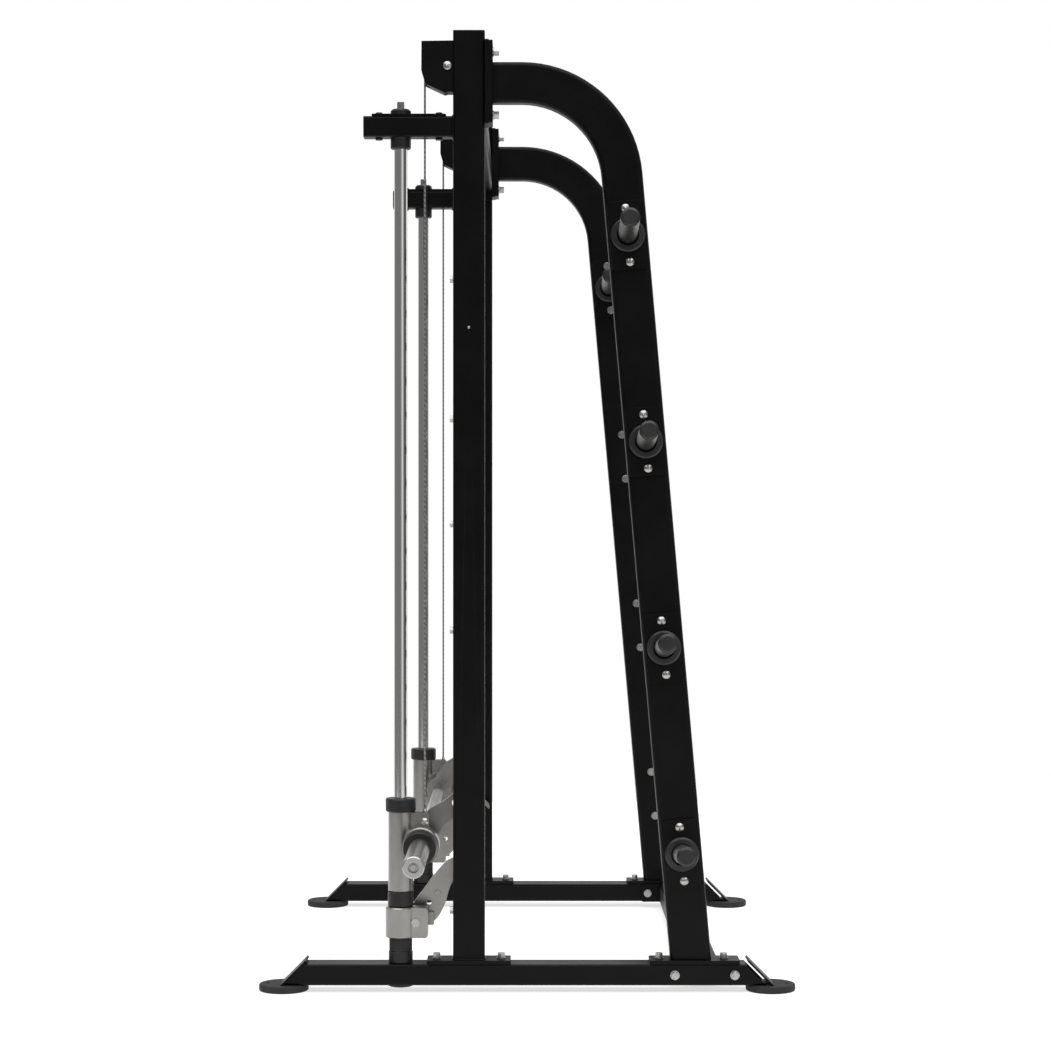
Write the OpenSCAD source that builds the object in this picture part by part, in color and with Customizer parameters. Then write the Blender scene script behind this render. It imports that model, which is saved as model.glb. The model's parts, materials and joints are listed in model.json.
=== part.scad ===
// Counterbalanced Smith machine with plate storage, in millimetres.
// +Z is up, +Y is the back of the machine, X runs along the bar.
// The origin is on the floor, midway between the four feet.

/* [Frame] */
// Distance from the middle of the machine to the middle of each side frame
half_span = 665; // [560:5:760]
// Width of the upright, leg and arm tubes, along the bar
post_w = 50; // [45:1:60]
// Depth of each upright tube
post_d = 76; // [70:1:90]
// Width of the base rails and the bolted plates
plate_w = 76; // [70:1:90]
// Corner radius of the upright tubes
post_r = 6; // [3:1:10]
// Wall thickness of all frame tubes
wall = 3; // [2:0.5:4]
// Height of the top of the uprights
post_top = 2300; // [2280:1:2330]
// Middle of the uprights, front to back
post_y = -139.5; // [-141:0.5:-138]
// Thickness of the bolted plates
plate_t = 9.5; // [8:0.5:10]

/* [Base] */
// Height of the base rails
rail_h = 50; // [45:1:60]
// Corner radius of the rails
rail_r = 6; // [4:1:12]
// Distance from the middle to the middle of each foot, front to back
foot_y = 584; // [560:1:610]
// Radius of a foot pad
foot_r = 59.5; // [50:0.5:65]
// Thickness of a foot pad
foot_h = 17; // [12:1:20]
// Radius of the floor bolt hole in a foot pad
foot_hole_r = 5; // [4:0.5:7]

/* [Rear legs] */
// Depth of the bent leg tube
leg_d = 98; // [80:1:100]
// Corner radius of the bent leg tube
leg_r = 11; // [6:1:14]
// Radius of the bend along the middle of the tube
bend_r = 241; // [220:1:260]
// Lean of the leg from vertical, in degrees
leg_lean = 5; // [3:0.5:7]

/* [Storage horns] */
// Height of the lowest horn
horn_z = 330; // [300:1:360]
// Height from one horn to the next
horn_pitch = 493; // [450:1:500]
// Length of a horn from its plate
horn_l = 197; // [150:1:220]
// Radius of a horn tube
horn_r = 23; // [20:0.5:25]
// Upward tilt of a horn, in degrees
horn_tilt = 5.5; // [0:0.5:8]

/* [Guide rods and top arms] */
// Middle of the guide rods, front to back
rod_y = -303.5; // [-306:0.5:-300]
// Radius of a guide rod
rod_r = 16; // [14:0.5:16]
// Underside of the top arms
arm_z = 2045; // [2030:1:2060]
// Width and height of a top arm
arm_w = 50; // [45:1:55]

/* [Bar] */
// Middle of the bar, front to back
bar_y = -255.5; // [-257:0.5:-254]
// Height of the middle of the bar at its lowest
bar_z = 348; // [345:1:350]
// Radius of the bar shaft
bar_r = 15; // [12:0.5:15]
// Radius of the plate sleeves
sleeve_r = 25; // [23:0.5:25.5]
// Length of a plate sleeve
sleeve_l = 320; // [250:10:400]

/* [Pegs and hooks] */
// Radius of a catch peg
peg_r = 10; // [8:0.5:10]
// Height of the lowest catch peg
peg_z = 294; // [292:1:296]
// Height from one peg to the next
peg_pitch = 84; // [84:1:90]
// Number of catch pegs on each upright
peg_count = 18; // [8:1:18]
// Middle of the catch pegs, front to back
peg_y = -133; // [-134:0.5:-132]
// Thickness of the hook plates
hook_t = 12; // [8:1:12]

/* [Counterbalance] */
// Radius of the pulleys at the middle of the cable
pulley_r = 54.5; // [50:0.5:55]
// Height of the pulley axles
pulley_z = 2215; // [2205:1:2220]
// Radius of the cables
cable_r = 2.4; // [1.5:0.1:3]
// Height of a counterweight
weight_h = 400; // [200:10:450]

/* [Hidden] */
$fn = 64;

hole_gap = 0.05;                    // radial gap round a fixed shank or rod
slide_gap = 0.3;                    // radial gap of a sliding fit
half_w = post_w / 2;
rail_z = foot_h;                    // underside of the rails
rail_top = rail_z + rail_h;
post_z = rail_top + plate_t;        // foot of the uprights and legs
inner_x = half_span - half_w;       // inner face of an upright
outer_x = half_span + half_w;       // outer face of an upright or leg
rail_in = half_span - plate_w / 2;  // inner face of a rail
rail_out = half_span + plate_w / 2; // outer face of a rail
post_back = post_y + post_d / 2;
post_front = post_y - post_d / 2;
flange_z = 2176;                    // middle of the flange that joins leg and upright
flange_h = 202;
flange_bolt = 76;                   // bolt distance above and below its middle
base_bolt = 77.5;                    // bolt distance each way from a tube's middle
bend_y = -12.6;                     // where the bend of the rear leg starts
bend_z = flange_z - bend_r;
leg_y = bend_y + bend_r * cos(leg_lean);
leg_z = bend_z + bend_r * sin(leg_lean);
leg_foot_y = leg_y + (leg_z - post_z) * tan(leg_lean);
cross_y = 424;                      // middle of the lower crossbar
cross_bolt = 71.5;
upper_z = 2130;                     // middle of the upper crossbar
shank_r = 5.8;
hex_r = 9.8;
arm_top = arm_z + arm_w;
arm_front = -390;
arm_bolts_y = [-355.5, -211.5];
cable_y = -245.5;
pulley_y = cable_y + pulley_r;
rear_cable_y = pulley_y + pulley_r;
weight_top = 2078;
weight_x = 34;
weight_y = 54;
face_bolt_z = [192, 864, 1119, 1371, 1706];
rack_t = 6;
rack_h = 1610;
rack_z = 955;                       // middle of a peg rack
peg_l = 62;
notch_r = peg_r + 2;
ferrule_top = 95;
stop_z = 127;                       // underside of a stop block and top of its bumper
stop_top = 201;
pin_y = -267;                       // pivot of a stop hook
pin_z = 164;
pin_r = 8;
hook_x = 584;                       // inner face of a bar hook
stop_hook_x = 604;                  // inner face of a stop hook
collar_z = 201.3;                   // underside of the carriage
tube_z = 240;
tube_top = 429;
collar_top = 461;
tube_r = 30;
boss_x = 640;                       // inner face of a carriage's bearing boss
boss_l = 57;
boss_r = 45;                        // bar bearing boss of a carriage
lug_z = 405;                        // bolt that holds the cable to the carriage
ring_x = 731;                       // inner face of the ring that plates rest against
ring_t = 12;
sleeve_end = ring_x + ring_t + sleeve_l;
horn_zs = [for (i = [0:3]) horn_z + i * horn_pitch];
horn_bolt = 64.5;
horn_neck = 24;                     // where a horn leaves its ring
rest_angle = atan2(peg_z + peg_pitch - bar_z, peg_y - bar_y) + 34;
bar_reach = norm([peg_y - bar_y, peg_z + peg_pitch - bar_z]);

black = [0.03, 0.03, 0.03];
grey = [0.22, 0.22, 0.22];
silver = [0.72, 0.71, 0.69];
zinc = [0.82, 0.81, 0.78];

function leg_at(z) = leg_foot_y - (z - post_z) * tan(leg_lean);

// Draws its children on the right, or mirrored on the left
module side(left) { mirror([left ? 1 : 0, 0, 0]) children(); }
module both() { for (left = [false, true]) side(left) children(); }

// Rectangle with round corners, centred
module round_rect(w, d, r) {
    square([w - 2 * r, d], center = true);
    square([w, d - 2 * r], center = true);
    for (x = [-1, 1], y = [-1, 1]) translate([x * (w / 2 - r), y * (d / 2 - r)]) circle(r);
}
module tube_section(w, d, r) {
    difference() {
        round_rect(w, d, r);
        round_rect(w - 2 * wall, d - 2 * wall, r - wall);
    }
}
// Draws a shape given as [y, z] from x to x + t
module across(x, t) { translate([x, 0, 0]) rotate([90, 0, 90]) linear_extrude(t) children(); }
// Cylinder along X
module rod_x(x, r, l) { translate([x, 0, 0]) rotate([0, 90, 0]) cylinder(r = r, h = l); }
// Hexagon bolt head or nut with a turned face and a washer, standing on z = 0
module hex_head(h = 10) {
    cylinder(r = hex_r + 1.4, h = 2);
    intersection() {
        translate([0, 0, 2]) cylinder(r = hex_r, h = h, $fn = 6);
        cylinder(r1 = hex_r + h + 1, r2 = hex_r - 1.2, h = h + 2);
    }
}
// Plain bolt: head on z = 0 and a shank below it
module bolt(l, h = 10) {
    hex_head(h);
    translate([0, 0, -l]) cylinder(r = shank_r, h = l + 1);
}
module button_screw(r, l) {
    intersection() {
        cylinder(r = r, h = r);
        translate([0, 0, -r * 0.9]) sphere(r = r * 1.45);
    }
    translate([0, 0, -l]) cylinder(r = r * 0.45, h = l + 1);
}

// ---- base ----
module base_rail() {
    slant = foot_y + 6;             // where the sloped ends meet the feet
    color(black) difference() {
        translate([half_span, foot_y, rail_z + rail_h / 2]) rotate([90, 0, 0])
            linear_extrude(2 * foot_y) tube_section(plate_w, rail_h, rail_r);
        // front end, flush with its sloped plate
        translate([0, -slant + 7.2, rail_z]) rotate([-45, 0, 0])
            translate([0, -200, -100]) cube([1000, 200, 300]);
        // back end, set in from its sloped plate
        translate([0, slant - 18, rail_z]) rotate([45, 0, 0])
            translate([0, 0, -100]) cube([1000, 200, 300]);
        translate([half_span, rod_y, 0]) cylinder(r = rod_r + hole_gap, h = 100);
        for (y = [post_y, leg_foot_y + 2], s = [-1, 1])
            translate([half_span, y + s * base_bolt, rail_top - 20]) cylinder(r = 6, h = 30);
        for (s = [-1, 1])
            translate([0, cross_y + s * cross_bolt, rail_z + rail_h / 2]) rod_x(600, 6, 120);
    }
}
module foot_pads() {
    color(grey) both() for (s = [-1, 1]) translate([half_span, s * foot_y, 0]) difference() {
        rotate_extrude() {
            translate([0, 0]) square([foot_r - 4, foot_h]);
            translate([0, 4]) square([foot_r, foot_h - 8]);
            for (z = [4, foot_h - 4]) translate([foot_r - 4, z]) circle(4);
        }
        translate([0, s * 39, -1]) cylinder(r = foot_hole_r, h = foot_h + 2);
    }
}
module rail_end_plates() {
    slant = foot_y + 6;
    color(black) both() for (s = [-1, 1])
        translate([half_span, s * slant, foot_h]) mirror([0, s < 0 ? 0 : 1, 0]) rotate([45, 0, 0])
            translate([-plate_w / 2, 0, -5]) difference() {
                cube([plate_w, 85, 5]);
                translate([-1, 0, 5]) rotate([-45, 0, 0]) translate([0, -20, -20]) cube([plate_w + 2, 60, 20]);
            }
}
module base_plates() {
    color(black) both() for (p = [[post_y, 200, post_y], [leg_foot_y + 8.6, 215, leg_foot_y + 2]])
        difference() {
            translate([half_span, p[0], rail_top]) linear_extrude(plate_t) round_rect(plate_w, p[1], 5);
            for (s = [-1, 1])
                translate([half_span, p[2] + s * base_bolt, rail_top - 1]) cylinder(r = 6, h = plate_t + 2);
        }
}
module base_bolts() {
    color(zinc) both() for (y = [post_y, leg_foot_y + 2], s = [-1, 1])
        translate([half_span, y + s * base_bolt, post_z]) bolt(plate_t + 14, 11);
}

// ---- uprights and rear legs ----
module upright() {
    color(black) difference() {
        translate([half_span, post_y, post_z])
            linear_extrude(post_top - 2 - post_z) tube_section(post_w, post_d, post_r);
        // slot that the pulley turns in
        translate([half_span - 13, post_front - 5, pulley_z - 58]) cube([26, 20, 116]);
        for (z = face_bolt_z) translate([half_span, post_front + 5, z]) rotate([90, 0, 0])
            cylinder(r = 6, h = 10);
        for (s = [-1, 1]) translate([half_span, post_back - 6, flange_z + s * flange_bolt])
            rotate([-90, 0, 0]) cylinder(r = 6, h = 10);
        translate([0, post_y, 1589]) rod_x(outer_x - 6, 1.6, 10);
        for (s = [-1, 1]) translate([0, post_y, upper_z + s * 50]) rod_x(inner_x - 3, 6, 10);
    }
}
module tube_cap(w, d) {
    linear_extrude(2) round_rect(w, d, 6);
    translate([0, 0, -8]) linear_extrude(9) round_rect(w - 2 * wall - 1, d - 2 * wall - 1, 2);
}
module tube_caps() {
    color(grey) both() {
        translate([half_span, post_y, post_top - 2]) tube_cap(post_w, post_d);
        translate([half_span, arm_front, arm_z + arm_w / 2]) rotate([90, 0, 0]) tube_cap(arm_w, arm_w);
    }
}
module rear_leg() {
    color(black) difference() {
        leg_tube();
        on_legs() for (s = [-1, 1]) translate([0, 0, s * horn_bolt]) rod_x(-post_w - 5, 6, post_w + 10);
    }
}
module leg_tube() {
    translate([half_span, 0, 0]) {
        translate([0, bend_y, flange_z]) rotate([90, 0, 0])
            linear_extrude(bend_y - post_back - 2 * plate_t) tube_section(post_w, leg_d, leg_r);
        translate([0, bend_y, bend_z]) rotate([0, -90, 0]) mirror([0, 0, 1])
            rotate_extrude(angle = 90 - leg_lean, $fn = 128)
                translate([bend_r, 0]) tube_section(leg_d, post_w, leg_r);
        difference() {
            translate([0, leg_y, leg_z]) rotate([180 + leg_lean, 0, 0])
                linear_extrude((leg_z - post_z) / cos(leg_lean) + 20) tube_section(post_w, leg_d, leg_r);
            translate([-half_w - 1, leg_foot_y - 100, post_z - 60]) cube([post_w + 2, 200, 60]);
        }
    }
}
module flange_plates() {
    color(black) both() for (i = [0, 1])
        translate([half_span, post_back + i * plate_t, flange_z]) rotate([-90, 0, 0]) difference() {
            linear_extrude(plate_t - 0.01 * i) round_rect(plate_w, flange_h - i * 4, 4);
            for (s = [-1, 1]) translate([0, s * flange_bolt, -1]) cylinder(r = 6, h = plate_t + 2);
        }
}
module flange_bolts() {
    color(zinc) both() for (s = [-1, 1])
        translate([half_span, post_back + 2 * plate_t, flange_z + s * flange_bolt]) rotate([-90, 0, 0])
            bolt(2 * plate_t + 5, 13);
}

// ---- crossbars ----
module lower_crossbar() {
    color(black) {
        translate([0, cross_y, rail_z + rail_h / 2]) rotate([90, 0, 90])
            translate([0, 0, -rail_in + plate_t]) linear_extrude(2 * (rail_in - plate_t))
                tube_section(post_d, rail_h, rail_r);
        both() difference() {
            translate([rail_in - plate_t, cross_y, rail_z + rail_h / 2]) rotate([90, 0, 90])
                linear_extrude(plate_t) round_rect(178, rail_h, 5);
            for (s = [-1, 1]) translate([0, cross_y + s * cross_bolt, rail_z + rail_h / 2])
                rod_x(rail_in - plate_t - 1, 6, plate_t + 2);
        }
    }
}
module upper_crossbar() {
    color(black) {
        translate([0, post_y, upper_z]) rotate([90, 0, 90])
            translate([0, 0, -inner_x + plate_t]) linear_extrude(2 * (inner_x - plate_t))
                tube_section(post_d, post_d, post_r);
        both() difference() {
            translate([inner_x - plate_t, post_y, upper_z]) rotate([90, 0, 90])
                linear_extrude(plate_t) round_rect(post_d, 136, 5);
            for (s = [-1, 1]) translate([0, post_y, upper_z + s * 50])
                rod_x(inner_x - plate_t - 1, 6, plate_t + 2);
        }
    }
}
module crossbar_bolts() {
    color(zinc) both() {
        for (s = [-1, 1]) translate([rail_out, cross_y + s * cross_bolt, rail_z + rail_h / 2])
            rotate([0, 90, 0]) {
                bolt(plate_w + plate_t, 9);
                translate([0, 0, -plate_w - plate_t]) mirror([0, 0, 1]) hex_head(8);
            }
        for (s = [-1, 1]) translate([inner_x - plate_t, post_y, upper_z + s * 50])
            rotate([0, -90, 0]) bolt(plate_t + 5, 8);
    }
}

// ---- top arms and guide rods ----
module top_arm() {
    color(black) difference() {
        translate([half_span, post_front, arm_z + arm_w / 2]) rotate([90, 0, 0])
            linear_extrude(post_front - arm_front) tube_section(arm_w, arm_w, 6);
        translate([half_span, rod_y, arm_z - 5]) cylinder(r = rod_r + hole_gap, h = 20);
        translate([half_span, rod_y, arm_top - 10]) cylinder(r = 6.2, h = 20);
        translate([half_span, cable_y, arm_z - 5]) cylinder(r = 6, h = arm_w + 10);
        for (y = arm_bolts_y) translate([half_span, y, arm_z - 5]) cylinder(r = 6, h = arm_w + 10);
    }
}
module arm_plates() {
    color(black) both() translate([half_span, 0, arm_top]) difference() {
        translate([0, -283.5, 0]) linear_extrude(5) round_rect(arm_w, 178, 6);
        translate([0, rod_y, -1]) cylinder(r = 6.2, h = 8);
        translate([0, cable_y, -1]) cylinder(r = 6, h = 8);
        for (y = arm_bolts_y) translate([0, y, -1]) cylinder(r = 6, h = 8);
    }
}
module arm_bolts() {
    color(grey) both() for (y = arm_bolts_y) translate([half_span, y, arm_top + 5]) {
        translate([0, 0, -arm_w - 5]) cylinder(r = shank_r, h = arm_w + 6);
        intersection() {
            cylinder(r = 9.5, h = 6);
            cylinder(r1 = 12, r2 = 7.5, h = 6);
        }
        translate([0, 0, -arm_w - 5]) mirror([0, 0, 1]) cylinder(r = 9.5, h = 5, $fn = 6);
    }
}
module guide_rod() {
    color(silver) difference() {
        translate([half_span, rod_y, rail_z]) cylinder(r = rod_r, h = arm_top - wall - rail_z);
        translate([half_span, rod_y, arm_top - 45]) cylinder(r = 6.2, h = 50);
    }
}
module rod_top_bosses() {
    color(black) both() translate([half_span, rod_y, 0]) {
        difference() {
            union() {
                translate([0, 0, arm_z - 27]) cylinder(r1 = 22.5, r2 = 24.5, h = 3);
                translate([0, 0, arm_z - 24]) cylinder(r = 24.5, h = 24);
            }
            translate([0, 0, arm_z - 30]) cylinder(r = rod_r + hole_gap, h = 40);
        }
        difference() {
            union() {
                translate([0, 0, arm_top + 5]) cylinder(r = 24.5, h = 9);
                translate([0, 0, arm_top + 14]) cylinder(r1 = 24.5, r2 = 20.5, h = 4);
            }
            translate([0, 0, arm_top]) cylinder(r = 6.2, h = 20);
        }
    }
}
module rod_top_bolts() {
    color(zinc) both() translate([half_span, rod_y, arm_top + 18]) {
        translate([0, 0, -52]) cylinder(r = 6, h = 53);
        hex_head(16);
    }
}
module rod_ring(r, z, h) {
    both() translate([half_span, rod_y, 0]) difference() {
        union() {
            translate([0, 0, z]) cylinder(r1 = r - 1.5, r2 = r, h = 2);
            translate([0, 0, z + 2]) cylinder(r = r, h = h - 4);
            translate([0, 0, z + h - 2]) cylinder(r1 = r, r2 = r - 1.5, h = 2);
        }
        translate([0, 0, z - 5]) cylinder(r = rod_r + hole_gap, h = h + 10);
    }
}
module rod_ferrules() { color(black) rod_ring(29, rail_top, ferrule_top - rail_top); }
module rod_bumpers() { color(grey) rod_ring(27.5, ferrule_top, stop_z - ferrule_top); }
module rod_bottom_caps() {
    color(black) both() translate([half_span, rod_y, rail_z - 6.5]) {
        cylinder(r1 = 27, r2 = 31, h = 2);
        translate([0, 0, 2]) cylinder(r = 31, h = 4.5);
    }
}

// ---- catch pegs ----
module peg_racks() {
    color(black) both() translate([inner_x - rack_t, peg_y, rack_z]) rotate([90, 0, 90])
        linear_extrude(rack_t) round_rect(54, rack_h, 8);
}
module pegs() {
    color(silver) both() for (i = [0:peg_count - 1])
        translate([inner_x - rack_t - peg_l, peg_y, peg_z + i * peg_pitch]) rotate([0, 90, 0]) {
            cylinder(r1 = peg_r - 2, r2 = peg_r, h = 2);
            translate([0, 0, 2]) cylinder(r = peg_r, h = peg_l - 2);
        }
}
module face_bolts() {
    color(zinc) both() for (z = face_bolt_z) translate([half_span, post_front, z])
        rotate([90, 0, 0]) {
            translate([0, 0, -6]) cylinder(r = shank_r, h = 7);
            intersection() {
                cylinder(r = hex_r, h = 8, $fn = 6);
                cylinder(r1 = hex_r + 8, r2 = hex_r - 1.2, h = 8);
            }
        }
}
module side_rivets() {
    color(zinc) both() translate([outer_x, post_y, 1589]) rotate([0, 90, 0]) button_screw(3.2, 4);
}

// ---- counterbalance ----
module cover_outline(grow) {
    g = grow;
    polygon([
        [post_front, pulley_z - 60 - g], [-191, pulley_z - 60 - g], [-198, pulley_z - 62 - g],
        [-241 - g, pulley_z - 42 - g * 0.5], [-251 - g, pulley_z - 10], [-250.5 - g, pulley_z + 57 + g],
        [post_front, pulley_z + 58 + g]]);
}
// Folded sheet, open towards the upright and slotted below for the cable
module pulley_covers() {
    color(black) both() difference() {
        across(half_span - 22, 44) cover_outline(2.5);
        across(half_span - 19.5, 39) union() {
            cover_outline(0);
            translate([post_front - 2, pulley_z - 60]) square([10, 118]);
        }
        translate([half_span - 8, -262, pulley_z - 80]) cube([16, 29, 62]);
        translate([0, pulley_y, pulley_z]) rod_x(half_span - 30, 8 + hole_gap, 60);
    }
}
module pulley_axles() {
    color(zinc) both() translate([0, pulley_y, pulley_z]) {
        rod_x(half_span - 26, 8, 52);
        translate([half_span + 22, 0, 0]) rotate([0, 90, 0]) intersection() {
            cylinder(r = 10, h = 7);
            translate([0, 0, -10]) sphere(r = 17);
        }
        translate([half_span - 22, 0, 0]) rotate([0, -90, 0]) cylinder(r = 10, h = 8, $fn = 6);
    }
}
module pulley() {
    color(grey) translate([half_span, pulley_y, pulley_z]) rotate([0, 90, 0]) difference() {
        rotate_extrude() difference() {
            union() {
                translate([8 + hole_gap, -10]) square([pulley_r + 2.4 - 8 - hole_gap, 20]);
                translate([8 + hole_gap, -18.5]) square([4, 37]);
            }
            translate([pulley_r, 0]) circle(r = cable_r + 0.3);
            translate([pulley_r, -cable_r - 0.3]) square([10, 2 * cable_r + 0.6]);
            translate([18, 6]) square([26, 10]);
            translate([18, -16]) square([26, 10]);
        }
        for (a = [0:60:300]) rotate([0, 0, a]) translate([31, 0, -20]) cylinder(r = 7, h = 40);
    }
}
module cables_front() {
    color(grey) both() translate([half_span, cable_y, lug_z + 30])
        cylinder(r = cable_r, h = pulley_z - lug_z - 30, $fn = 24);
}
module cables_over() {
    color(grey) both() translate([half_span, pulley_y, pulley_z]) rotate([0, -90, 0])
        rotate([0, 0, -90]) rotate_extrude(angle = 180, $fn = 96)
            translate([pulley_r, 0]) circle(r = cable_r, $fn = 24);
}
module cable_rear() {
    color(grey) translate([half_span, rear_cable_y, weight_top + 24])
        cylinder(r = cable_r, h = pulley_z - weight_top - 24, $fn = 24);
}
module counterweight() {
    color(grey) translate([half_span, rear_cable_y, weight_top]) {
        translate([0, 0, -weight_h]) linear_extrude(weight_h) round_rect(weight_x, weight_y, 4);
        cylinder(r = 7, h = 12);
        translate([0, 0, 12]) cylinder(r1 = 7, r2 = 4, h = 12);
    }
}

// ---- storage horns ----
// The four places on a leg that hold horns, on its outer face
module on_legs() {
    for (z = horn_zs) translate([outer_x, leg_at(z), z]) rotate([leg_lean, 0, 0]) children();
}
// Those four, and a fifth on the inner face at the highest place
module on_horns() {
    on_legs() children();
    translate([inner_x, leg_at(horn_zs[3]), horn_zs[3]]) rotate([leg_lean, 0, 0])
        mirror([1, 0, 0]) children();
}
module horn_plates() {
    color(black) both() on_horns() rotate([90, 0, 90]) difference() {
        linear_extrude(6) round_rect(88, 165, 8);
        for (s = [-1, 1]) translate([0, s * horn_bolt, -1]) cylinder(r = 6, h = 8);
    }
}
module horn_bolts() {
    color(zinc) both() for (i = [0:3], s = [-1, 1])
        translate([outer_x, leg_at(horn_zs[i]), horn_zs[i]]) rotate([leg_lean, 0, 0])
            translate([6, 0, s * horn_bolt]) rotate([0, 90, 0]) {
                l = post_w + (i == 3 ? 12 : 6);
                translate([0, 0, -l]) cylinder(r = shank_r, h = l + 1);
                intersection() {
                    cylinder(r = 10, h = 7);
                    translate([0, 0, -8]) sphere(r = 13.5);
                }
                translate([0, 0, -l]) mirror([0, 0, 1]) hex_head(7);
            }
}
module horn_rings() {
    color(grey) both() on_horns() translate([6, 0, 0]) rotate([0, 90, 0]) difference() {
        union() {
            cylinder(r = 41, h = 8);
            translate([0, 0, 8]) cylinder(r1 = 41, r2 = 37, h = 4);
        }
        translate([0, 0, -1]) cylinder(r = horn_r + 3.2, h = 20);
    }
}
// Tube that plates slide onto, a little thinner where it goes through its ring
module horns() {
    color(silver) both() on_horns() difference() {
        rotate([0, -horn_tilt, 0]) rotate([0, 90, 0]) difference() {
            union() {
                cylinder(r = horn_r - 0.5, h = horn_neck + 1);
                translate([0, 0, horn_neck]) cylinder(r = horn_r, h = horn_l - horn_neck);
            }
            translate([0, 0, -10]) cylinder(r = horn_r - wall, h = horn_l + 20);
        }
        translate([-44, -50, -50]) cube([50, 100, 100]);
    }
}
module horn_caps() {
    color(grey) both() on_horns() rotate([0, -horn_tilt, 0]) rotate([0, 90, 0])
        translate([0, 0, horn_l]) {
            translate([0, 0, -14]) cylinder(r = horn_r - wall - 0.1, h = 15);
            cylinder(r = horn_r - 0.5, h = 2);
            translate([0, 0, 2]) cylinder(r1 = horn_r - 0.5, r2 = horn_r - 6, h = 4);
        }
}

// ---- carriages ----
module carriage() {
    color(silver) difference() {
        union() {
            translate([half_span, rod_y, tube_z]) cylinder(r = tube_r, h = tube_top - tube_z);
            translate([0, bar_y, bar_z]) {
                rod_x(boss_x, boss_r, boss_l - 3);
                translate([boss_x + boss_l - 3, 0, 0]) rotate([0, 90, 0])
                    cylinder(r1 = boss_r, r2 = boss_r - 3, h = 3);
            }
            for (x = [half_span - 15, half_span + 11]) across(x, 4)
                polygon([[-281, 372], [-281, 424], [-277, 427], [-241, 427], [-236, 422], [-236, 388], [-250, 372]]);
        }
        translate([half_span, rod_y, tube_z - 1]) cylinder(r = rod_r + 0.5, h = tube_top - tube_z + 2);
        translate([0, bar_y, bar_z]) rod_x(boss_x - 5, bar_r + hole_gap, boss_l + 10);
        translate([0, cable_y, lug_z]) rod_x(half_span - 20, 5 + hole_gap, 40);
        translate([0, cable_y, lug_z]) rod_x(half_span - 8.5, 12, 17);
    }
}
module collar(r, z, h) {
    both() translate([half_span, rod_y, z]) difference() {
        union() {
            cylinder(r1 = r - 2.5, r2 = r, h = 2.5);
            translate([0, 0, 2.5]) cylinder(r = r, h = h - 5);
            translate([0, 0, h - 2.5]) cylinder(r1 = r, r2 = r - 2.5, h = 2.5);
        }
        translate([0, 0, -1]) cylinder(r = rod_r + slide_gap, h = h + 2);
    }
}
module carriage_collars() {
    color(black) {
        collar(36.5, tube_top, collar_top - tube_top);
        collar(30.8, collar_z, tube_z - collar_z);
    }
}
module cable_fittings() {
    color(zinc) both() translate([0, cable_y, lug_z]) {
        rod_x(half_span - 18, 5, 36);
        translate([half_span + 15, 0, 0]) rotate([0, 90, 0]) intersection() {
            cylinder(r = 9.5, h = 6);
            translate([0, 0, -8]) sphere(r = 13);
        }
        translate([half_span - 15, 0, 0]) rotate([0, -90, 0]) cylinder(r = 9, h = 7, $fn = 6);
        rod_x(half_span - 6, 10, 12);
        translate([half_span, 0, 8]) cylinder(r = 4.6, h = 18);
        translate([half_span, 0, 26]) cylinder(r1 = 4.6, r2 = 3, h = 4);
    }
}

// ---- bar ----
module bar_shaft() {
    color(silver) translate([0, bar_y, bar_z]) rod_x(-sleeve_end + 10, bar_r, 2 * sleeve_end - 20);
}
module bar_rings() {
    color(black) both() translate([ring_x, bar_y, bar_z]) rotate([0, 90, 0]) difference() {
        union() {
            cylinder(r1 = 37, r2 = 39, h = 2);
            translate([0, 0, 2]) cylinder(r = 39, h = ring_t - 4);
            translate([0, 0, ring_t - 2]) cylinder(r1 = 39, r2 = 37, h = 2);
        }
        translate([0, 0, -1]) cylinder(r = bar_r + hole_gap, h = ring_t + 2);
    }
}
module bar_sleeves() {
    color(silver) both() translate([ring_x + ring_t, bar_y, bar_z]) rotate([0, 90, 0]) difference() {
        union() {
            cylinder(r = sleeve_r, h = sleeve_l - 2);
            translate([0, 0, sleeve_l - 2]) cylinder(r1 = sleeve_r, r2 = sleeve_r - 2, h = 2);
        }
        translate([0, 0, -1]) cylinder(r = bar_r + hole_gap, h = sleeve_l - 9);
        translate([0, 0, 20]) cylinder(r = 12.5, h = sleeve_l);
    }
}
module sleeve_bolts() {
    color(zinc) both() translate([sleeve_end - 10, bar_y, bar_z]) rotate([0, 90, 0]) {
        cylinder(r = 9, h = 1.6);
        cylinder(r = 7, h = 6.5, $fn = 6);
    }
}
// Two round ends joined by their tangents
module link(p, q, rp, rq) {
    d = q - p;
    l = norm(d);
    a = atan2(d[1], d[0]);
    b = acos((rp - rq) / l);
    translate(p) circle(rp);
    translate(q) circle(rq);
    polygon([
        p + rp * [cos(a + b), sin(a + b)], q + rq * [cos(a + b), sin(a + b)],
        q + rq * [cos(a - b), sin(a - b)], p + rp * [cos(a - b), sin(a - b)]]);
}
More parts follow.
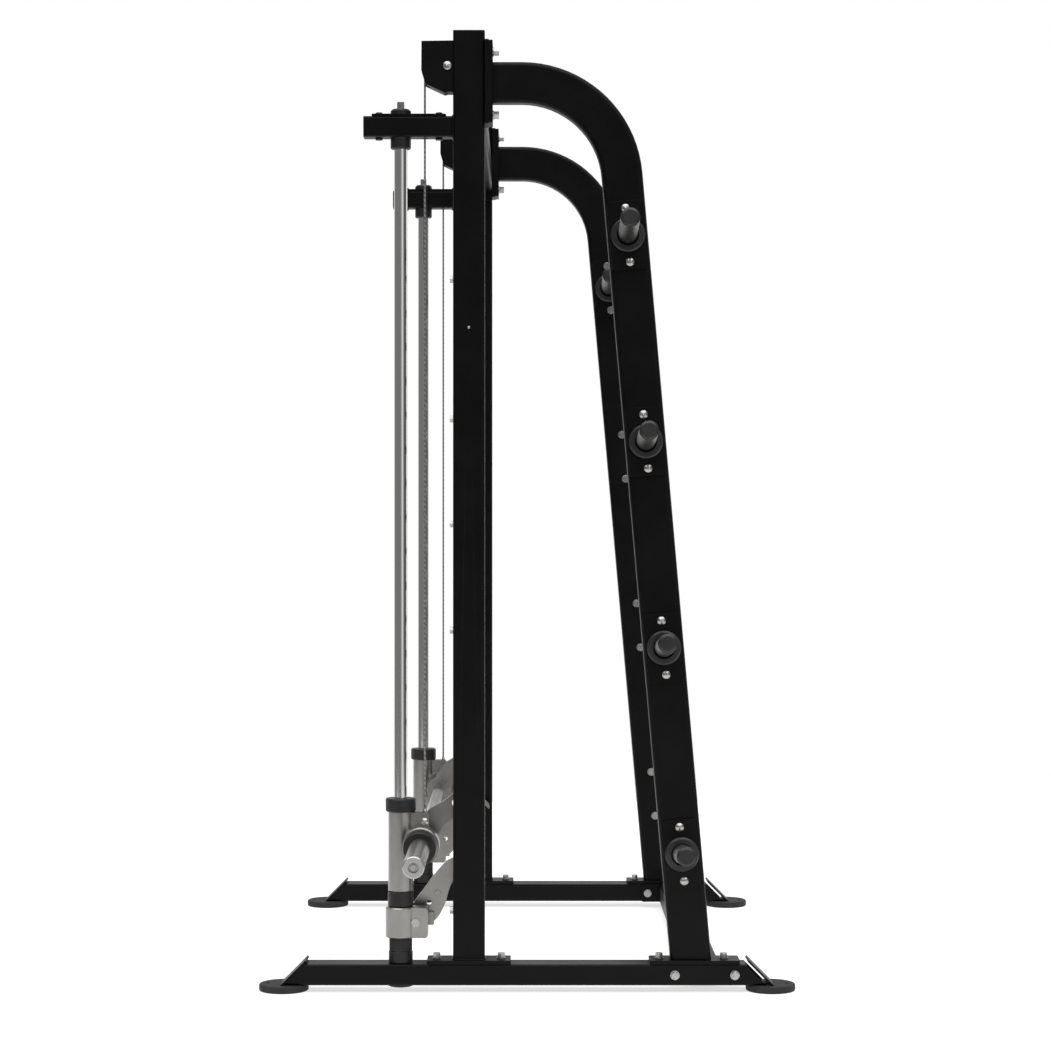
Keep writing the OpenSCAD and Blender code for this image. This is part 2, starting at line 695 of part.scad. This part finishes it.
// Open notch that drops over a peg: at reach and angle a from the pivot, open on the lower side
module notch(reach, a) {
    rotate(a) translate([reach, 0]) {
        circle(notch_r);
        polygon([[-notch_r, 0], [notch_r, 0], [notch_r + 4, -60], [-notch_r - 6, -60]]);
    }
}
module bar_hooks() {
    color(silver) both() translate([0, bar_y, bar_z]) difference() {
        union() {
            across(hook_x, hook_t) difference() {
                union() {
                    circle(36);
                    rotate(rest_angle) {
                        translate([bar_reach, 0]) circle(24);
                        polygon([[0, -25], [66, -13], [bar_reach - 8, -22.2], [bar_reach + 4, 23.2],
                            [bar_reach - 14, 26], [70, 40], [12, 32], [-10, 0]]);
                    }
                }
                notch(bar_reach, rest_angle);
            }
            rod_x(hook_x + hook_t - 0.5, 22, boss_x - hook_x - hook_t);
        }
        rod_x(hook_x - 5, bar_r + hole_gap, 70);
    }
}

// ---- safety stops ----
module stop_block() {
    color(silver) difference() {
        union() {
            translate([half_span, rod_y, stop_z]) {
                translate([0, 0, 3]) cylinder(r = 36.5, h = stop_top - stop_z - 6);
                cylinder(r1 = 33.5, r2 = 36.5, h = 3);
                translate([0, 0, stop_top - stop_z - 3]) cylinder(r1 = 36.5, r2 = 33.5, h = 3);
            }
            across(half_span - 24, 48) translate([rod_y + 33, (stop_z + stop_top) / 2])
                round_rect(66, stop_top - stop_z - 2, 8);
        }
        translate([half_span, rod_y, stop_z - 1]) cylinder(r = rod_r + hole_gap, h = 90);
        translate([0, pin_y, pin_z]) rod_x(half_span - 30, pin_r + hole_gap, 60);
    }
}
module stop_pins() {
    color(zinc) both() translate([0, pin_y, pin_z]) {
        rod_x(stop_hook_x - 3, pin_r, half_span + 26 - stop_hook_x + 3);
        rod_x(stop_hook_x - 3.2, 11, 2.8);
        translate([half_span + 24, 0, 0]) difference() {
            rod_x(0, 10.5, 2.6);
            difference() {
                rod_x(1, 8, 3);
                rod_x(0, 5, 5);
            }
        }
    }
}
module stop_hook() {
    reach = [peg_y - pin_y, peg_z - pin_z];
    color(silver) translate([0, pin_y, pin_z]) difference() {
        union() {
            across(stop_hook_x, hook_t) difference() {
                union() {
                    circle(22);
                    translate(reach) circle(24);
                    polygon([
                        [-22, 2], [-15, 22], [-7, 39], [4, 55], [17, 71], [28, 87], [39, 102], [59, 126], [72, 139],
                        [88, 147], [100, 151], [112, 153], [134, 154], [134, 130], [118, 106], [105, 99], [96, 96],
                        [88, 91], [82, 80], [76, 62], [72, 45], [65, 29], [57, 12], [50, 2], [43, -5], [32, -12],
                        [20, -15], [10, -19.5]]);
                }
                translate([29.6, 38.3]) circle(6.3);
                notch(norm(reach), atan2(reach[1], reach[0]));
            }
            rod_x(stop_hook_x + hook_t - 0.5, 14, half_span - 30 - stop_hook_x - hook_t + 0.5);
            across(stop_hook_x + hook_t - 0.5, 12) translate([35, 1.5]) round_rect(14, 31, 3);
            translate([0, 50.6, 61.3]) rod_x(stop_hook_x + hook_t - 0.5, 8, 2);
        }
        rod_x(stop_hook_x - 5, pin_r + hole_gap, 120);
    }
}

base_rail();  // base_rail_right
side(true) base_rail();  // base_rail_left
foot_pads();
rail_end_plates();
upright();  // upright_right
side(true) upright();  // upright_left
tube_caps();
rear_leg();  // rear_leg_right
side(true) rear_leg();  // rear_leg_left
base_plates();
flange_plates();
lower_crossbar();
upper_crossbar();
top_arm();  // top_arm_right
side(true) top_arm();  // top_arm_left
arm_plates();
guide_rod();  // guide_rod_right
side(true) guide_rod();  // guide_rod_left
rod_top_bosses();
rod_top_bolts();
rod_ferrules();
rod_bumpers();
rod_bottom_caps();
peg_racks();
pegs();
pulley_covers();
pulley_axles();
horn_plates();
horn_rings();
horns();
horn_caps();
horn_bolts();
base_bolts();
flange_bolts();
crossbar_bolts();
face_bolts();
arm_bolts();
side_rivets();
stop_block();  // stop_block_right
side(true) stop_block();  // stop_block_left
stop_pins();
cables_front();
cables_over();
cable_rear();  // cable_rear_right
side(true) cable_rear();  // cable_rear_left
carriage();  // carriage_right
side(true) carriage();  // carriage_left
carriage_collars();
cable_fittings();
bar_shaft();
bar_rings();
bar_sleeves();
sleeve_bolts();
bar_hooks();
stop_hook();  // stop_hook_right
side(true) stop_hook();  // stop_hook_left
pulley();  // pulley_right
side(true) pulley();  // pulley_left
counterweight();  // counterweight_right
side(true) counterweight();  // counterweight_left
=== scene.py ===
import bpy
import bmesh
import json
import math
from mathutils import Matrix, Vector


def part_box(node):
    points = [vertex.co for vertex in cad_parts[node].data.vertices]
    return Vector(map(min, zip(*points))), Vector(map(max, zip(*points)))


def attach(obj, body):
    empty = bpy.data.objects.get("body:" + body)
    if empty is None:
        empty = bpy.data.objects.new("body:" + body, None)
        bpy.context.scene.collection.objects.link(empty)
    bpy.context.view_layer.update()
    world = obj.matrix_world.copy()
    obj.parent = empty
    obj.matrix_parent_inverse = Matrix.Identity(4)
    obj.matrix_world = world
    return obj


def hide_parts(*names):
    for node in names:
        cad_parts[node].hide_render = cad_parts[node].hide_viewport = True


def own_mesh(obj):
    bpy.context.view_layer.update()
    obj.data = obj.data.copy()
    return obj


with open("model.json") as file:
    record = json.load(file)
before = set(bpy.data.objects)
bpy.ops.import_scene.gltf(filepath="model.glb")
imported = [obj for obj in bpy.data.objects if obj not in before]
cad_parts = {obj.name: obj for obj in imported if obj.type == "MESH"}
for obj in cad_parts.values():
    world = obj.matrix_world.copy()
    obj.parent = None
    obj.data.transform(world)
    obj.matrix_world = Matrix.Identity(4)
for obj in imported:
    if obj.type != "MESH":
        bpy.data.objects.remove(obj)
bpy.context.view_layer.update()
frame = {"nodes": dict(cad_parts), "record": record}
nodes = frame["nodes"]
print("frame loaded:", len(nodes), "nodes")


# small helpers for node trees

tintSpan = (0.3, 0.7)
edgeSamples = 4


def startFinish(name, sockets):
    mat = bpy.data.materials.new(name)
    mat.use_nodes = True
    shader = mat.node_tree.nodes["Principled BSDF"]
    for key, value in sockets.items():
        shader.inputs[key].default_value = value
    return mat, mat.node_tree, shader


def add(tree, kind, **values):
    node = tree.nodes.new(kind)
    for key, value in values.items():
        if key in node.inputs:
            node.inputs[key].default_value = value
        else:
            setattr(node, key, value)
    return node


def join(tree, start, end):
    tree.links.new(start, end)


# a term is a number or another node's output
def calc(tree, operation, *terms):
    node = add(tree, "ShaderNodeMath", operation=operation)
    for socket, term in zip(node.inputs, terms):
        if isinstance(term, (int, float)):
            socket.default_value = term
        else:
            join(tree, term, socket)
    return node.outputs[0]


def placeOn(tree, scale=(1, 1, 1), location=(0, 0, 0)):
    coords = add(tree, "ShaderNodeTexCoord")
    mapping = add(tree, "ShaderNodeMapping")
    mapping.inputs["Scale"].default_value = scale
    mapping.inputs["Location"].default_value = location
    join(tree, coords.outputs["Object"], mapping.inputs["Vector"])
    return mapping.outputs["Vector"]


def grain(tree, vector, size, detail, roughness=0.5):
    noise = add(tree, "ShaderNodeTexNoise", Scale=1.0 / size, Detail=detail, Roughness=roughness)
    join(tree, vector, noise.inputs["Vector"])
    return noise.outputs["Fac"]


# end says which side of the range is given: To what the factor becomes, From what it is
def spread(tree, factor, low, high, end="To"):
    ranged = add(tree, "ShaderNodeMapRange")
    ranged.inputs[end + " Min"].default_value = low
    ranged.inputs[end + " Max"].default_value = high
    join(tree, factor, ranged.inputs["Value"])
    return ranged.outputs["Result"]


def tint(tree, factor, dark, light):
    ramp = add(tree, "ShaderNodeValToRGB")
    for stop, position, colour in zip(ramp.color_ramp.elements, tintSpan, (dark, light)):
        stop.position = position
        stop.color = (*colour, 1)
    join(tree, factor, ramp.inputs["Fac"])
    return ramp.outputs["Color"]


def relief(tree, height, depth, strength, under=None):
    bump = add(tree, "ShaderNodeBump", Distance=depth, Strength=strength)
    join(tree, height, bump.inputs["Height"])
    if under is not None:
        join(tree, under, bump.inputs["Normal"])
    return bump.outputs["Normal"]


def softEdge(tree, radius):
    edge = add(tree, "ShaderNodeBevel", samples=edgeSamples, Radius=radius)
    return edge.outputs["Normal"]


# colour from shade, roughness from gloss, and a bumped normal, which is returned
def dress(tree, shader, values, shade, gloss, height):
    colour = tint(tree, shade, values["dark"], values["light"])
    under = softEdge(tree, values["edge"]) if "edge" in values else None
    normal = relief(tree, height, values["depth"], values["strength"], under)
    join(tree, colour, shader.inputs["Base Color"])
    join(tree, spread(tree, gloss, *values["rough"]), shader.inputs["Roughness"])
    join(tree, normal, shader.inputs["Normal"])
    return normal


# finishes

framePaint = {"dark": (0.0014, 0.0014, 0.0015), "light": (0.0028, 0.0028, 0.003),
              "patch": 0.09, "patchDetail": 3, "peel": 0.0011, "peelDetail": 1.5,
              "depth": 0.00006, "strength": 0.7, "edge": 0.0016,
              "rough": (0.34, 0.48), "specular": 0.13}

def makeFramePaint():
    mat, tree, shader = startFinish("black powder coat", {
        "Specular IOR Level": framePaint["specular"]})
    place = placeOn(tree)
    broad = grain(tree, place, framePaint["patch"], framePaint["patchDetail"])
    peel = grain(tree, place, framePaint["peel"], framePaint["peelDetail"])
    dress(tree, shader, framePaint, broad, broad, peel)
    return mat


silverPaint = {"dark": (0.235, 0.228, 0.215), "light": (0.31, 0.302, 0.286),
               "patch": 0.05, "patchDetail": 3, "flake": 0.0007, "flakeShare": 0.35,
               "peel": 0.0014, "peelDetail": 2, "depth": 0.00005, "strength": 0.8,
               "edge": 0.0012, "rough": (0.24, 0.33), "metallic": 0.88}

def makeSilverPaint():
    mat, tree, shader = startFinish("silver metallic paint", {"Metallic": silverPaint["metallic"]})
    place = placeOn(tree)
    flake = add(tree, "ShaderNodeTexVoronoi", Scale=1.0 / silverPaint["flake"])
    join(tree, place, flake.inputs["Vector"])
    broad = grain(tree, place, silverPaint["patch"], silverPaint["patchDetail"])
    shade = add(tree, "ShaderNodeMix", data_type="FLOAT", Factor=silverPaint["flakeShare"])
    join(tree, broad, shade.inputs["A"])
    join(tree, flake.outputs["Distance"], shade.inputs["B"])
    peel = grain(tree, place, silverPaint["peel"], silverPaint["peelDetail"])
    dress(tree, shader, silverPaint, shade.outputs["Result"], broad, peel)
    return mat


rodChrome = {"colour": (0.74, 0.74, 0.73, 1), "rough": (0.07, 0.17), "grind": (900, 900, 5),
             "detail": 3, "depth": 0.000004, "strength": 0.5}

def makeRodChrome():
    mat, tree, shader = startFinish("guide rod chrome", {
        "Metallic": 1.0, "Base Color": rodChrome["colour"]})
    place = placeOn(tree, rodChrome["grind"])
    lines = grain(tree, place, 1.0, rodChrome["detail"])
    normal = relief(tree, lines, rodChrome["depth"], rodChrome["strength"])
    join(tree, spread(tree, lines, *rodChrome["rough"]), shader.inputs["Roughness"])
    join(tree, normal, shader.inputs["Normal"])
    return mat


# one noise gives colour, roughness and relief; it is stretched where the metal was drawn or turned
def makeMetal(name, values):
    mat, tree, shader = startFinish(name, {"Metallic": values["metallic"]})
    place = placeOn(tree, values["stretch"])
    cloud = grain(tree, place, values["size"], values["detail"], values["noise"])
    normal = dress(tree, shader, values, cloud, cloud, cloud)
    return mat, tree, shader, normal


boltZinc = {"dark": (0.30, 0.29, 0.27), "light": (0.52, 0.51, 0.485), "metallic": 0.95,
            "stretch": (1, 1, 1), "size": 0.004, "detail": 4, "noise": 0.6,
            "rough": (0.2, 0.38), "depth": 0.00005, "strength": 0.6, "edge": 0.0006}
weightIron = {"dark": (0.035, 0.034, 0.033), "light": (0.075, 0.073, 0.07), "metallic": 0.7,
              "stretch": (1, 1, 1), "size": 0.0022, "detail": 5, "noise": 0.6,
              "rough": (0.6, 0.85), "depth": 0.0006, "strength": 0.8}
hornSteel = {"dark": (0.05, 0.049, 0.048), "light": (0.12, 0.118, 0.114), "metallic": 0.9,
             "stretch": (1.2, 260, 260), "size": 1.0, "detail": 4, "noise": 0.5,
             "rough": (0.3, 0.46), "depth": 0.00002, "strength": 0.5, "edge": 0.0008}
barSteel = {"dark": (0.36, 0.355, 0.345), "light": (0.5, 0.495, 0.48), "metallic": 1.0,
            "stretch": (420, 3, 3), "size": 1.0, "detail": 3, "noise": 0.5,
            "rough": (0.24, 0.36), "depth": 0.00002, "strength": 0.5, "edge": 0.0008}


# two crossed sets of helical grooves on the shaft, from inner to outer either side of the middle
knurl = {"pitch": 0.0022, "starts": 42, "depth": 0.0004, "strength": 0.9,
         "inner": 0.06, "outer": 0.46}

def makeKnurledSteel():
    mat, tree, shader, base = makeMetal("knurled bar steel", barSteel)
    low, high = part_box("bar_shaft")
    axle = [(a + b) / 2 for a, b in zip(low, high)]
    parts = add(tree, "ShaderNodeSeparateXYZ")
    join(tree, placeOn(tree, location=(0, -axle[1], -axle[2])), parts.inputs[0])
    angle = calc(tree, "ARCTAN2", parts.outputs["Y"], parts.outputs["Z"])
    around = calc(tree, "MULTIPLY", angle, knurl["starts"])
    along = calc(tree, "MULTIPLY", parts.outputs["X"], 2 * math.pi / knurl["pitch"])
    waves = [calc(tree, "SINE", calc(tree, way, along, around)) for way in ("ADD", "SUBTRACT")]
    cross = calc(tree, "MINIMUM", *waves)
    side = calc(tree, "ABSOLUTE", parts.outputs["X"])
    start = calc(tree, "GREATER_THAN", side, knurl["inner"])
    stop = calc(tree, "LESS_THAN", side, knurl["outer"])
    cut = calc(tree, "MULTIPLY", cross, calc(tree, "MULTIPLY", start, stop))
    normal = relief(tree, cut, knurl["depth"], knurl["strength"], base)
    join(tree, normal, shader.inputs["Normal"])
    return mat


# period is the wave texture's own, at a scale of 1
cableWire = {"dark": (0.16, 0.16, 0.16), "light": (0.30, 0.30, 0.30), "lay": 0.006,
             "period": 0.31, "distortion": 0.4, "depth": 0.0003, "strength": 0.8,
             "rough": (0.3, 0.45), "metallic": 0.6}

def makeCableWire():
    mat, tree, shader = startFinish("cable strands", {"Metallic": cableWire["metallic"]})
    place = placeOn(tree)
    strand = add(tree, "ShaderNodeTexWave", wave_type="BANDS", bands_direction="DIAGONAL",
                 Scale=cableWire["period"] / cableWire["lay"],
                 Distortion=cableWire["distortion"])
    join(tree, place, strand.inputs["Vector"])
    lay = strand.outputs["Fac"]
    dress(tree, shader, cableWire, lay, lay, lay)
    return mat


rubberGrain = {"patch": 0.03, "patchDetail": 4, "poreDetail": 3, "poreNoise": 0.65}
padRubber = {"dark": (0.016, 0.016, 0.016), "light": (0.027, 0.027, 0.027), "pore": 0.0009,
             "depth": 0.0001, "strength": 0.8, "rough": (0.6, 0.82), "specular": 0.3,
             "edge": 0.0018}
collarPlastic = {"dark": (0.006, 0.006, 0.006), "light": (0.011, 0.011, 0.011), "pore": 0.0007,
                 "depth": 0.00005, "strength": 0.8, "rough": (0.38, 0.52), "specular": 0.35,
                 "edge": 0.001}
hornCapPlastic = {"dark": (0.012, 0.012, 0.012), "light": (0.02, 0.02, 0.02), "pore": 0.0008,
                  "depth": 0.00006, "strength": 0.8, "rough": (0.34, 0.46), "specular": 0.4,
                  "edge": 0.0015}
pulleyNylon = {"dark": (0.02, 0.02, 0.021), "light": (0.03, 0.03, 0.031), "pore": 0.0006,
               "depth": 0.00004, "strength": 0.8, "rough": (0.3, 0.42), "specular": 0.45,
               "edge": 0.0008}

def makeRubber(name, values):
    mat, tree, shader = startFinish(name, {"Specular IOR Level": values["specular"]})
    place = placeOn(tree)
    cloud = grain(tree, place, rubberGrain["patch"], rubberGrain["patchDetail"])
    pores = grain(tree, place, values["pore"], rubberGrain["poreDetail"], rubberGrain["poreNoise"])
    dress(tree, shader, values, cloud, pores, pores)
    return mat


blackPaint = makeFramePaint()
collar = makeRubber("collar plastic", collarPlastic)
hornCap = makeRubber("horn cap plastic", hornCapPlastic)
wire = makeCableWire()

finishes = {
    "frame_paint": blackPaint,
    "collar_plastic": collar,
    "ring_black": collar,
    "bumper_rubber": makeRubber("foot and bumper rubber", padRubber),
    "pulley_nylon": makeRubber("pulley nylon", pulleyNylon),
    "chrome": makeRodChrome(),
    "silver_paint": makeSilverPaint(),
    "bar_steel": makeMetal("turned sleeve steel", barSteel)[0],
    "horn_steel": makeMetal("horn tube steel", hornSteel)[0],
    "zinc": makeMetal("bright zinc", boltZinc)[0],
    "cast_iron": makeMetal("rough cast iron", weightIron)[0],
    "cable": wire,
}
special = {"bar_shaft": makeKnurledSteel(), "horn_caps": hornCap, "horn_rings": hornCap}
print("finishes made")

for entry in frame["record"]["subparts"]:
    name = entry["node"]
    finish = special.get(name, finishes[entry["material_slot"]])
    for slot in nodes[name].material_slots:
        slot.material = finish
print("finishes on the frame's nodes")


# pieces made here

mergeDistance = 1e-6
sides = ((1, "right"), (-1, "left"))


def finishPiece(mesh, name, material, body):
    bmesh.ops.remove_doubles(mesh, verts=mesh.verts, dist=mergeDistance)
    bmesh.ops.recalc_face_normals(mesh, faces=mesh.faces)
    data = bpy.data.meshes.new(name)
    mesh.to_mesh(data)
    mesh.free()
    for face in data.polygons:
        face.use_smooth = True
    piece = bpy.data.objects.new(name, data)
    bpy.context.collection.objects.link(piece)
    data.materials.append(material)
    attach(piece, body)
    return piece


cableRun = {"radius": 0.0024, "sides": 10, "ring": 0.02}

# the run from the carriage up to the pulley, which on the machine gets shorter as the bar goes up;
# here it is one straight tube on the carriage body
low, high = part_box("cables_front")
y = (low[1] + high[1]) / 2
count = round((high[2] - low[2]) / cableRun["ring"])
for side, word in sides:
    x = side * (high[0] - cableRun["radius"])
    mesh = bmesh.new()
    ring = bmesh.ops.create_circle(mesh, cap_ends=False, segments=cableRun["sides"],
                                   radius=cableRun["radius"])
    bmesh.ops.translate(mesh, vec=(x, y, low[2]), verts=ring["verts"])
    edges = list(mesh.edges)
    for step in range(count):
        grown = bmesh.ops.extrude_edge_only(mesh, edges=edges)["geom"]
        edges = [g for g in grown if isinstance(g, bmesh.types.BMEdge)]
        bmesh.ops.translate(mesh, vec=(0, 0, (high[2] - low[2]) / count),
                            verts=[g for g in grown if isinstance(g, bmesh.types.BMVert)])
    bmesh.ops.holes_fill(mesh, edges=mesh.edges, sides=0)
    run = finishPiece(mesh, "cable_run_" + word, wire, "carriage")
    if side > 0:
        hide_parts("cables_front")
    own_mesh(run)
print("cable runs made")


weld = {"radius": 0.0032, "round": 2, "corner": 0.006, "cornerCuts": 4, "edgeCuts": 24,
        "longEdge": 0.01}

# a bead of weld round a tube where it meets a plate; turn maps the flat outline onto the joint
def weldBead(name, wide, deep, turn):
    mesh = bmesh.new()
    made = bmesh.ops.create_grid(mesh, x_segments=1, y_segments=1, size=0.5)
    bmesh.ops.scale(mesh, vec=(wide, deep, 1), verts=made["verts"])
    bmesh.ops.bevel(mesh, geom=mesh.verts, offset=weld["corner"], segments=weld["cornerCuts"],
                    profile=0.5, affect="VERTICES", material=-1)
    outer = [e for e in mesh.edges if e.is_boundary]
    bmesh.ops.delete(mesh, geom=mesh.faces, context="FACES_ONLY")
    straight = [e for e in outer if e.is_valid and e.calc_length() > weld["longEdge"]]
    bmesh.ops.subdivide_edges(mesh, edges=straight, cuts=weld["edgeCuts"])
    path = bpy.data.meshes.new(name + "_path")
    mesh.to_mesh(path)
    mesh.free()
    holder = bpy.data.objects.new(name + "_path", path)
    bpy.context.collection.objects.link(holder)
    for picked in list(bpy.context.selected_objects):
        picked.select_set(False)
    bpy.context.view_layer.objects.active = holder
    holder.select_set(True)
    bpy.ops.object.convert(target="CURVE")
    curve = bpy.context.object
    curve.data.bevel_depth = weld["radius"]
    curve.data.bevel_resolution = weld["round"]
    bpy.ops.object.convert(target="MESH")
    done = bpy.context.object
    swept = bmesh.new()
    swept.from_mesh(done.data)
    bpy.data.objects.remove(done)
    bmesh.ops.transform(swept, matrix=turn, verts=swept.verts)
    return finishPiece(swept, name, blackPaint, "frame")


def onTop(x, y, z):
    return Matrix.Translation((x, y, z))


def facing(x, y, z):
    return Matrix.Translation((x, y, z)) @ Matrix.Rotation(math.radians(90), 4, "X")


def boxOf(name):
    low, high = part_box(name)
    return Vector(low), Vector(high)


for side, word in sides:
    low, high = boxOf("upright_" + word)
    middle = (low + high) / 2
    size = high - low
    weldBead("weld_upright_" + word, size.x, size.y, onTop(middle.x, middle.y, low.z))
    low, high = boxOf("top_arm_" + word)
    middle = (low + high) / 2
    size = high - low
    weldBead("weld_arm_" + word, size.x, size.z, facing(middle.x, high.y, middle.z))
print("weld beads made")


# stage, light and camera

white = (1, 1, 1, 1)
studio = {"floor": (0.5, 0.5, 0.5, 1), "floorRough": 0.9, "floorSpecular": 0.1,
          "floorGlow": 0.66, "size": 3.4, "backdrop": 1.0, "overhead": 0.5,
          "overheadRise": (0.35, 0.8),
          "bands": ((0.0, 0.9), (0.12, 0.9), (0.17, 0.22), (0.44, 0.2), (0.53, 0.24),
                    (0.565, 0.75), (0.62, 0.75), (0.66, 0.14), (0.75, 0.14), (0.81, 0.9),
                    (1.0, 0.9))}

ground = bmesh.new()
bmesh.ops.create_grid(ground, x_segments=1, y_segments=1, size=studio["size"])
groundData = bpy.data.meshes.new("floor")
ground.to_mesh(groundData)
ground.free()
floor = bpy.data.objects.new("floor", groundData)
bpy.context.collection.objects.link(floor)
floorFinish = startFinish("pale floor", {
    "Base Color": studio["floor"], "Roughness": studio["floorRough"],
    "Specular IOR Level": studio["floorSpecular"],
    "Emission Color": white, "Emission Strength": studio["floorGlow"]})[0]
groundData.materials.append(floorFinish)

# a plain pale backdrop for the camera, and for everything else a room of light and dark
# bands round the machine, under an even ceiling, for the gloss to pick up
world = bpy.data.worlds.new("studio")
bpy.context.scene.world = world
world.use_nodes = True
room = world.node_tree
panels = room.nodes["Background"]
plain = add(room, "ShaderNodeBackground", Color=white, Strength=studio["backdrop"])
way = add(room, "ShaderNodeSeparateXYZ")
join(room, add(room, "ShaderNodeTexCoord").outputs["Generated"], way.inputs[0])
around = calc(room, "ARCTAN2", way.outputs["Y"], way.outputs["X"])
ramp = add(room, "ShaderNodeValToRGB")
stops = ramp.color_ramp.elements
stops.remove(stops[1])
for place, level in studio["bands"]:
    stop = stops[0] if place == 0 else stops.new(place)
    stop.position = place
    stop.color = (level, level, level, 1)
join(room, spread(room, around, -math.pi, math.pi, "From"), ramp.inputs["Fac"])

# a Mix node's colour sockets share their names with its number sockets, so they go by place
mixColour = {"first": 6, "second": 7, "result": 2}
lid = add(room, "ShaderNodeMix", data_type="RGBA")
rise = spread(room, way.outputs["Z"], *studio["overheadRise"], "From")
join(room, rise, lid.inputs["Factor"])
join(room, ramp.outputs["Color"], lid.inputs[mixColour["first"]])
lid.inputs[mixColour["second"]].default_value = (*[studio["overhead"]] * 3, 1)
join(room, lid.outputs[mixColour["result"]], panels.inputs["Color"])

seen = add(room, "ShaderNodeLightPath")
both = add(room, "ShaderNodeMixShader")
join(room, seen.outputs["Is Camera Ray"], both.inputs["Fac"])
for source, socket in zip((panels, plain), list(both.inputs)[1:]):
    join(room, source.outputs[0], socket)
join(room, both.outputs[0], room.nodes["World Output"].inputs["Surface"])
bpy.context.scene.view_settings.view_transform = "Standard"

sunLamp = {"strength": 2.8, "spread": 80, "tilt": (0, 18, 0)}
sunData = bpy.data.lights.new("sun", "SUN")
sunData.energy = sunLamp["strength"]
sunData.angle = math.radians(sunLamp["spread"])
sun = bpy.data.objects.new("sun", sunData)
sun.rotation_euler = [math.radians(a) for a in sunLamp["tilt"]]
bpy.context.collection.objects.link(sun)

view = {"at": (6.623, -0.004, 1.115), "lens": 85, "sensor": 36, "turn": (90, 0, 90)}
cameraData = bpy.data.cameras.new("camera")
cameraData.sensor_width = view["sensor"]
cameraData.lens = view["lens"]
camera = bpy.data.objects.new("camera", cameraData)
camera.location = view["at"]
camera.rotation_euler = [math.radians(a) for a in view["turn"]]
bpy.context.collection.objects.link(camera)
bpy.context.scene.camera = camera
print("stage, light and camera set")
